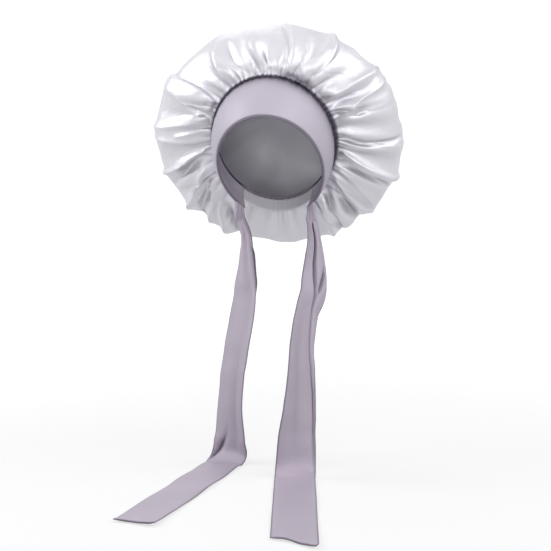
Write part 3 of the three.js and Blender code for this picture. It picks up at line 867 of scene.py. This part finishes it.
# Sewn pieces round the opening.
def swept_object(name, rings, joined, uvs):
    """A closed body through rings of points; its ends are capped unless it joins up."""
    steps, count = rings.shape[:2]
    faces = []
    for i in range(steps if joined else steps - 1):
        here, after = i * count, ((i + 1) % steps) * count
        for j in range(count):
            k = (j + 1) % count
            faces.append((here + j, here + k, after + k, after + j))
    if not joined:
        faces.append(tuple(range(count))[::-1])
        faces.append(tuple(range((steps - 1) * count, steps * count)))
    piece = mesh_object(name, rings.reshape(-1, 3), faces, uvs.reshape(-1, 2))
    volume = bmesh.new()
    volume.from_mesh(piece.data)
    bmesh.ops.recalc_face_normals(volume, faces=volume.faces)
    volume.to_mesh(piece.data)
    volume.free()
    return piece


def lengths_along(points):
    """Running length of each column of points down the first axis."""
    steps = np.linalg.norm(np.diff(points, axis=0), axis=-1)
    return np.concatenate([np.zeros((1, points.shape[1])), np.cumsum(steps, axis=0)])


# Length and width of a tie, in millimetres.
TIE_LENGTH = 664
TIE_WIDTH = 54
# Cut sizes of the cloth before it was sewn, in metres; the crown and its lining are round.
CASING_CUT = (0.04, 0.135)

# How far the painted shade on the band reaches from its seam, in millimetres, at angles round it.
SHADE_AT = (0, 30, 60, 80, 110, 130, 142, 218, 250, 280, 300, 330, 360)
SHADE = (10, 11, 13, 15, 15, 11, 7, 5, 8, 8, 8, 9, 10)
SHADE_FALL = 1.3
# Puckers of the band: height, most that they stand out, and reaches from the seam, in millimetres.
PUCKER_HEIGHT = 0.6
PUCKER_MOST = 0.3
PUCKER_REACH = 7
PUCKER_BROAD_REACH = 16
BAND_EDGE_ROUND = 0.45
# Round edges: sides of their section, wraps of the overlock thread and its places round the seam.
CORD_SIDES = 12
OVERLOCK_WRAPS = 300
OVERLOCK_ANGLES = np.arange(0, 360, 0.3)
# The nape casing and its elastic, in millimetres; the casing starts a small gap past the band's end.
CASING_HEIGHT = 18
CASING_THICKNESS = 4.4
CASING_INSET = 0.15
CASING_WALL = 1.2
CASING_GAP = 0.8
CASING_GATHERS = 150
CASING_TURNS = np.radians(np.arange(0, 360, 10.0))[None, :]
SEAM_DEGREE = np.linalg.norm(oval(SEAM_OVAL, BAND_END_ANGLE + 0.5) - oval(SEAM_OVAL, BAND_END_ANGLE - 0.5))
CASING_END = BAND_END_ANGLE + CASING_GAP / SEAM_DEGREE
ELASTIC_HALF_WIDTH = 7.3
ELASTIC_HALF_THICK = 0.5
ELASTIC_RIB = 0.1
ELASTIC_RIB_WIDTH = 1.6


def band_layer(name, low, high, pucker):
    """One layer of the stretch band: drawn smooth at the front, puckered where it meets the gathers."""
    angle = np.linspace(-BAND_END_ANGLE, BAND_END_ANGLE, 321)[:, None]
    share = np.linspace(0, 1, 31)[None, :]
    from_seam = (1 - share) * band_height(angle)
    phase = gather_phase(angle % 360, GATHERS)
    broad = 0.45 * np.cos(phase / 2) * np.exp(-from_seam / PUCKER_BROAD_REACH)
    ripple = np.cos(phase) * np.exp(-from_seam / PUCKER_REACH) + broad
    side = np.clip((np.abs(angle) - 70) / 60, 0, 1)
    drag = 0.5 * side * np.sin(share * 9 + angle / 7) * np.sin(np.pi * share)
    lift = pucker * (ripple * PUCKER_HEIGHT + drag)
    outer = band_offset(angle, share, high + np.minimum(lift, PUCKER_MOST))
    inner = band_offset(angle, share, np.full(lift.shape, low))[:, ::-1]
    middle = np.full(angle.shape, (low + high) / 2)
    edge = (high - low) * BAND_EDGE_ROUND
    at_front, at_back = np.zeros(angle.shape), np.ones(angle.shape)
    front = band_offset(angle, at_front, middle) - band_backward(angle, at_front) * edge
    back = band_offset(angle, at_back, middle) + band_backward(angle, at_back) * edge
    rings = np.concatenate([outer, back, inner, front], axis=1)
    along = lengths_along(rings)
    across = lengths_along(rings.transpose(1, 0, 2)).T
    piece = swept_object(name, rings, False, stacked(along, across) * MM)
    piece.data.materials.append(KNIT_CLOTH)
    # Painted shade on the outer layer: darkest at the seam and its back edge, fading toward the front.
    tone = np.zeros(rings.shape[:2])
    if pucker:
        deep = np.exp(-(from_seam / np.interp(angle % 360, SHADE_AT, SHADE)) ** SHADE_FALL)
        count = outer.shape[1]
        tone[:, :count] = deep
        tone[:, count] = 1
        tone[:, count + 1:] = deep[:, :1]
    paint_shade(piece, tone)
    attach(piece, "cap")
    return piece


def round_cord(name, centre, share, radius, angles, joined, material):
    """A round edge along the band's front (share 0) or back (share 1); radius depends on angle and turn."""
    turn = np.radians(np.arange(0, 360, 360 / CORD_SIDES))[None, :]
    angles = angles[:, None]
    place = np.full(angles.shape, float(share))
    spoke = band_backward(angles, place) * np.cos(turn)[..., None]
    spoke = spoke + band_normal(angles, place) * np.sin(turn)[..., None]
    rings = centre(angles) + spoke * radius(angles, turn)[..., None]
    along = np.broadcast_to(lengths_along(rings[:, :1]), rings.shape[:2])
    piece = swept_object(name, rings, joined, stacked(along, turn * 2) * MM)
    piece.data.materials.append(material)
    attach(piece, "cap")
    return piece


def piping_radius(angles, turn):
    """A folded edge of knit, a little uneven, closing at its two ends."""
    end = np.clip((BAND_END_ANGLE - np.abs(angles)) / 1.2, 0.25, 1) ** 0.5
    return end * PIPING_RADIUS * (0.96 + 0.04 * np.cos(angles * 3.1 + 2 * turn))


def overlock_radius(angles, turn):
    """Overlock stitches: one wrap of thread every two millimetres."""
    return SEAM_RADIUS * (0.93 + 0.07 * np.cos(np.radians(angles) * OVERLOCK_WRAPS + turn))


def casing_rings(angle, inset, ruche):
    """Cuts through the nape casing: flat, rounded at its edges, gathered along its length."""
    tall = band_height(angle)
    half_high = CASING_HEIGHT / 2 - inset
    half_thick = CASING_THICKNESS / 2 - inset
    up_way, side_way = np.cos(CASING_TURNS), np.sin(CASING_TURNS)
    up = np.sign(up_way) * np.abs(up_way) ** 0.5 * half_high
    side = np.sign(side_way) * np.abs(side_way) ** 0.6 * half_thick
    place = 1 - CASING_HEIGHT / 2 / tall + up / tall
    return band_offset(angle, place, BAND_MIDDLE + side * (1 + ruche))


def nape_casing():
    """A tube of lining cloth, drawn up in small gathers, open at its two ends for the elastic."""
    angle = np.linspace(CASING_END, 360 - CASING_END, 181)[:, None]
    phase = gather_phase(angle % 360, CASING_GATHERS)
    flat = np.abs(np.sin(CASING_TURNS)) ** 2
    stitched = np.abs(np.cos(CASING_TURNS)) > 0.75
    ruche = flat * (0.16 * np.cos(phase) + 0.1 * np.cos(phase * 0.43 + 1)) - 0.12 * flat * stitched
    outer = casing_rings(angle, CASING_INSET, ruche)
    inner = casing_rings(angle, CASING_WALL, 0.0)
    rings = np.concatenate([outer, inner[::-1]])
    along = lengths_along(outer)
    around = np.linspace(0, CASING_CUT[0] / MM, outer.shape[1])[None, :]
    uvs = stacked(np.concatenate([along, along[::-1]]), around) * MM
    piece = swept_object("nape_casing_cloth", rings, True, uvs)
    piece.data.materials.append(LINING)
    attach(piece, "cap")
    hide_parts("nape_casing")
    return piece


def nape_elastic():
    """Ribbed elastic inside the casing."""
    angle = np.linspace(CASING_END, 360 - CASING_END, 161)[:, None]
    tall = band_height(angle)
    across = np.linspace(-ELASTIC_HALF_WIDTH, ELASTIC_HALF_WIDTH, 37)[None, :]
    rib = ELASTIC_HALF_THICK + ELASTIC_RIB * np.cos(across * 2 * np.pi / ELASTIC_RIB_WIDTH)
    place = 1 - CASING_HEIGHT / 2 / tall + across / tall
    top = band_offset(angle, place, BAND_MIDDLE + rib + 0 * angle)
    low = band_offset(angle, place, BAND_MIDDLE - rib + 0 * angle)[:, ::-1]
    rings = np.concatenate([top, low], axis=1)
    along = lengths_along(rings)
    wide = np.broadcast_to(np.concatenate([across, across[:, ::-1]], axis=1), along.shape)
    piece = swept_object("nape_elastic_rib", rings, False, stacked(along, wide) * MM)
    piece.data.materials.append(ELASTIC)
    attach(piece, "cap")
    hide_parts("nape_elastic")
    return piece


band_outer = band_layer("band_outer", KNIT + GAP, 2 * KNIT + GAP, 1.0)
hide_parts("headband_outer")
band_facing = band_layer("band_facing", 0.0, KNIT, 0.0)
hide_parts("headband_facing")
piping = round_cord("front_piping", piping_centre, 0, piping_radius,
                    np.linspace(-BAND_END_ANGLE, BAND_END_ANGLE, 421), False, EDGE)
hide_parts("front_edge_piping")
overlock = round_cord("overlock_seam", seam_centre, 1, overlock_radius,
                      OVERLOCK_ANGLES, True, THREAD)
# Painted shade on the overlock thread along the front, where it lies in the crevice; none at the nape.
turns = np.repeat(OVERLOCK_ANGLES, CORD_SIDES)
paint_shade(overlock, soft_step((BAND_END_ANGLE + 4 - np.minimum(turns, 360 - turns)) / 8))
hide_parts("gather_seam")
casing = nape_casing()
elastic = nape_elastic()


# Ties, in millimetres and degrees.
TIE_THICKNESS = 2.4
TIE_ANGLE = 135
PLEAT_WIDTH = 14
PLEAT_THICKNESS = 4.8
TIE_HOLLOW = 12
ANCHOR_HEIGHT = 14
ANCHOR_SPAN = 11
SWING_GAP = 0.8
# Each stop: share of the drop, place beside and before the swing line, turn of the face, share of the width.
FALLS = {
    "left": [
        (0.083, 9.5, -6, -30, 0.3), (0.146, 10.4, -12, -42, 0.45), (0.24, 10.5, -22, -42, 0.7),
        (0.302, 10.7, -28, -42, 0.84), (0.364, 9.4, -33, -42, 0.95), (0.494, 3.2, -39, -44, 1),
        (0.624, -3.4, -42, -45, 1), (0.76, -7.3, -42, -44, 1), (0.895, -7.6, -37, -33, 1),
        (0.965, -9.8, -33.5, -16, 1), (1, -16, -45, -10, 1),
    ],
    "right": [
        (0.081, 5.4, -6, 20, 0.34), (0.175, 7.4, -20, 35, 0.6), (0.237, 8.1, -34, 44, 0.75),
        (0.296, 7.3, -51, 53, 0.82), (0.355, 2, -68, 61, 0.9), (0.473, -3, -91, 60, 0.97),
        (0.594, -4, -101, 54, 1), (0.718, -5.5, -104, 43, 1), (0.845, -8.8, -104, 28, 1),
        (0.962, -10, -105, 14, 1), (1, -9.5, -119, 6, 1),
    ],
}
END_SLANT = {"left": 2, "right": 32}
# Sewn ends of the ties: places across, and how far the edge bulges there; then how far it curls up.
END_WAVE = {
    "left": ((-1, -0.5, 0.3, 0.8, 1), (0, -3, 2, 4, -1)),
    "right": ((-1, -0.25, 0.6, 0.88, 1), (0, -4, 5, 7, -2)),
}
END_CURL_AT = (-1, -0.5, 0.2, 0.7, 1)
END_CURL = {"left": (2.5, 0.3, 1, 2.2, 3), "right": (1, 1.8, 0.2, 1.6, 3.5)}
END_CURL_REACH = 16
END_SEAM_AT = 6
END_TONE_REACH = 3.2
# Lengthwise folds: (stop along the tie, place across from -1 to 1, depth in mm), and half width.
TIE_FOLDS = {
    "left": [
        ([(0.6, 0.1, 5), (2, 0.35, 4), (3.5, 0.4, 5), (5, 0.3, 2.5), (7, 0.2, 0)], 0.42),
        ([(1.2, 0.8, 0), (2, 0.9, 5), (3.4, 0.95, 6), (4.2, 1, 0)], 0.13),
        ([(5, 0.1, 0), (7, 0.2, 3), (9, 0.3, 4.5), (10.1, 0.3, 0)], 0.33),
        ([(8.6, -0.2, 0), (9.6, -0.55, 5), (10.3, -0.8, 6), (10.9, -0.9, 0)], 0.19),
    ],
    "right": [
        ([(0.2, 0.0, 6), (1, -0.1, 9), (2.2, -0.2, 10), (3.2, -0.05, 10), (4.8, 0.34, 8), (6, 0.64, 6),
          (7.6, 0.84, 4), (9.6, 0.9, 2), (10.6, 0.92, 0)], 0.1),
        ([(2.2, 0.75, 0), (2.7, 0.68, 6), (3.4, 0.46, 6), (4.0, 0.3, 0)], 0.12),
        ([(4.5, -0.3, 0), (6.5, -0.25, 2.5), (8.6, -0.15, 3), (10.2, 0, 0)], 0.36),
    ],
}
# Painted shade on the ties: along the edges and the sewn end, and in folds, full in narrow ones and faint in
# broad ones.
EDGE_TONE = 0.7
END_TONE = 0.8
NARROW_FOLD = 0.2
BROAD_FOLD_TONE = 0.16
FOLD_LINE = 0.55
FULL_TONE_DEPTH = 4
TAIL_RIPPLE = 1.5


def curve_points(points, at):
    """Centripetal spline through points, for places counted in points."""
    before = 2 * points[0] - points[1]
    beyond = 2 * points[-1] - points[-2]
    rope = np.vstack([before, points, beyond])
    low = np.clip(at.astype(int), 0, len(points) - 2)
    t = (at - low)[:, None]
    p0, p1, p2, p3 = rope[low], rope[low + 1], rope[low + 2], rope[low + 3]
    pairs = ((p0, p1), (p1, p2), (p2, p3))
    d0, d1, d2 = (np.linalg.norm(b - a, axis=1, keepdims=True) ** 0.5 for a, b in pairs)
    m1 = ((p1 - p0) / d0 - (p2 - p0) / (d0 + d1) + (p2 - p1) / d1) * d1
    m2 = ((p2 - p1) / d1 - (p3 - p1) / (d1 + d2) + (p3 - p2) / d2) * d1
    return p1 + m1 * t + (3 * (p2 - p1) - 2 * m1 - m2) * t ** 2 + (2 * (p1 - p2) + m1 + m2) * t ** 3


def tie_root(side):
    root = piping_centre(np.array(side * TIE_ANGLE, float))
    root[2] -= PIPING_RADIUS + GAP + ANCHOR_HEIGHT + SWING_GAP + PLEAT_THICKNESS / 2
    return root


def tie_route(name, side):
    """A tie's stops, its points from swing line to end, its crease on the floor and its way from there."""
    root = tie_root(side)
    floor = FLOOR_Z + TIE_THICKNESS / 2
    stops = np.array([(0, 0, 0, 0, PLEAT_WIDTH / TIE_WIDTH), *FALLS[name]], float)
    points = root + np.stack([stops[:, 1], stops[:, 2], (floor - root[2]) * stops[:, 0]], axis=1)
    drop = np.linalg.norm(np.diff(points, axis=0), axis=1).sum()
    turn = math.radians(stops[-1, 3])
    ahead = np.array([math.sin(turn), -math.cos(turn), 0])
    crease = points[-1]
    end = crease + ahead * (TIE_LENGTH - drop)
    return stops, np.vstack([points, crease + 0.2 * (end - crease), end]), crease, ahead


def folded(name, at, u, height, tie_shade):
    """Height and painted shade of a tie, with its lengthwise folds."""
    for line, half in TIE_FOLDS[name]:
        places, centre, deep = np.array(line, float).T
        middle = np.interp(at, places, centre)[:, None]
        depth = running_mean(np.interp(at, places, deep, left=0, right=0), 5)[:, None]
        height = height - depth * np.exp(-((u - middle) / half) ** 2)
        strength = 1 if half < NARROW_FOLD else BROAD_FOLD_TONE
        sharp = np.exp(-((u - middle) / (half * FOLD_LINE)) ** 2)
        tie_shade = np.maximum(tie_shade, strength * np.clip(depth / FULL_TONE_DEPTH, 0, 1) * sharp)
    return height, tie_shade


def make_tie(name, side):
    """One tie from its swing line to its sewn end: a flat tube of knit, folded lengthwise where it hangs."""
    stops, points, crease, ahead = tie_route(name, side)
    last = len(stops) - 1
    at = np.unique(np.concatenate([np.linspace(0, last, 221), np.linspace(last, last + 2, 71),
                                   np.linspace(last + 1.9, last + 2, 15)]))
    middle = curve_points(points, at)
    soft = [running_mean(middle[:, k], 6, mode="reflect", reflect_type="odd") for k in range(3)]
    bend = np.exp(-((at - last) / 0.8) ** 2)[:, None]
    middle = middle * (1 - bend) + np.stack(soft, axis=1) * bend
    middle[:, 2] = np.maximum(middle[:, 2], FLOOR_Z + TIE_THICKNESS / 2)
    along = unit(np.gradient(middle, axis=0))
    along[0] = (0, 0, -1)
    number = np.arange(last + 1)
    turn = np.radians(running_mean(np.interp(at, number, stops[:, 3]), 8))
    spread = running_mean(np.interp(at, number, stops[:, 4]), 8)
    across = stacked(np.cos(turn), np.sin(turn), 0 * turn)
    across = unit(across - along * np.sum(across * along, axis=1, keepdims=True))
    face = unit(np.cross(along, across))
    u = np.sin(np.linspace(-np.pi / 2, np.pi / 2, 45))[None, :]
    run = np.concatenate([[0], np.cumsum(np.linalg.norm(np.diff(middle, axis=0), axis=1))])
    to_end = (run[-1] - run)[:, None]
    hollow = TIE_HOLLOW * (1 - spread) * np.minimum(at, 1)
    height = -hollow[:, None] * u ** 2
    # Painted shade along the tie's edges and at its sewn end.
    tie_shade = EDGE_TONE * soft_step((np.abs(u) - 0.9) / 0.08) + 0 * height
    tie_shade = np.maximum(tie_shade, END_TONE * soft_step((END_TONE_REACH - to_end) / 2))
    height, tie_shade = folded(name, at, u, height, tie_shade)
    height = height - height.mean(axis=1, keepdims=True) * np.clip(at, 0, 1)[:, None]
    way = run / run[-1] * 360
    waves = uneven(way, 30, -1, 1)[:, None] * 0.5 + uneven(way, 75, -1, 1)[:, None] * 0.25 * u
    end_seam = np.exp(-((to_end - END_SEAM_AT) / 2.2) ** 2) * 0.5
    lying = soft_step((at - last) / 0.4)[:, None]
    height = height + waves * (1 - 0.6 * lying)
    height = np.where(lying > 0, height * (1 - lying) + lying * (0.25 * waves + 0.4 + end_seam), height)
    thick = np.maximum(TIE_THICKNESS, PLEAT_THICKNESS - at * 0.8)[:, None]
    half_thick = thick / 2 * np.sqrt(np.clip(1 - u ** 6, 0, 1))
    closing = np.clip(to_end / 2.5, 0.3, 1) ** 0.5
    opening = np.clip((run + 0.6) / 2.4, 0.3, 1)[:, None] ** 0.5
    half_thick = half_thick * closing * opening
    far = np.clip((at - last) / 2, 0, 1)[:, None]
    skew = END_SLANT[name] / 2 * far ** 2 * u + np.interp(u, *END_WAVE[name]) * far ** 8
    curl = np.exp(-to_end / END_CURL_REACH) * np.interp(u, END_CURL_AT, END_CURL[name])
    ripple = 0.5 + 0.5 * np.cos(run[:, None] / 21 + 2.2 * u + 0.7 * np.sin(run[:, None] / 37))
    height = height + lying * (curl + TAIL_RIPPLE * ripple * (0.35 + 0.65 * u ** 2))
    base = middle[:, None, :] + across[:, None, :] * (u * TIE_WIDTH / 2 * spread[:, None])[..., None]
    base = base + along[:, None, :] * skew[..., None]
    top = base + face[:, None, :] * (height + half_thick)[..., None]
    low = base + face[:, None, :] * (height - half_thick)[..., None]
    rings = np.concatenate([top, low[:, -2:0:-1]], axis=1)
    rings[..., 2] = np.maximum(rings[..., 2], FLOOR_Z + 0.05)
    wide = np.broadcast_to(np.concatenate([u, u[:, -2:0:-1]], axis=1) * TIE_WIDTH / 2, rings.shape[:2])
    piece = swept_object(name + "_tie_cloth", rings, False, stacked(wide, run[:, None]) * MM)
    piece.data.materials.append(TIE_CLOTH)
    paint_shade(piece, np.concatenate([tie_shade, tie_shade[:, -2:0:-1]], axis=1))
    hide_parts(name + "_tie_drop", name + "_tie_tail")
    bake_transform(piece)
    return piece


def make_anchor(name, side):
    """Pleated head of a tie: sewn under the band's edge, turning with the tie at its foot."""
    root = tie_root(side)
    share = np.linspace(-1, 1, 41)[None, :]
    down = np.linspace(0, 1, 31)[:, None]
    top = piping_centre(side * (TIE_ANGLE - share[0] * ANCHOR_SPAN * 0.5))
    top[:, 2] -= PIPING_RADIUS * 0.4
    foot = np.repeat(root[None, :], share.shape[1], axis=0)
    foot[:, 0] += side * share[0] * (PLEAT_WIDTH / 2 + 0.6)
    foot[:, 2] -= 7 - 4.5 * share[0] ** 2
    sheet = top[None] * (1 - down[..., None]) + foot[None] * down[..., None]
    normal = grid_normals(sheet)
    pleat = 0.8 * np.cos(share * np.pi * 3) * (0.5 + 0.5 * soft_step(down * 2)) + 0 * down
    half = (PLEAT_THICKNESS / 2 + 0.5) * np.sqrt(np.clip(1 - share ** 8, 0.02, 1))
    half = half * (1 - 0.25 * soft_step((down - 0.8) / 0.2))
    front = sheet + normal * (half + pleat)[..., None]
    back = sheet - normal * (half + 0.4 * pleat)[..., None]
    rings = np.concatenate([front, back[:, ::-1]], axis=1)
    along = lengths_along(rings)
    wide = np.concatenate([share, share[:, ::-1]], axis=1) * TIE_WIDTH / 2
    wide = np.broadcast_to(wide, along.shape)
    piece = swept_object(name + "_tie_head", rings, False, stacked(wide, along) * MM)
    piece.data.materials.append(TIE_CLOTH)
    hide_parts(name + "_tie_anchor")
    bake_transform(piece)
    return piece


heads = [make_anchor("left", -1), make_anchor("right", 1)]
ties = [make_tie("left", -1), make_tie("right", 1)]
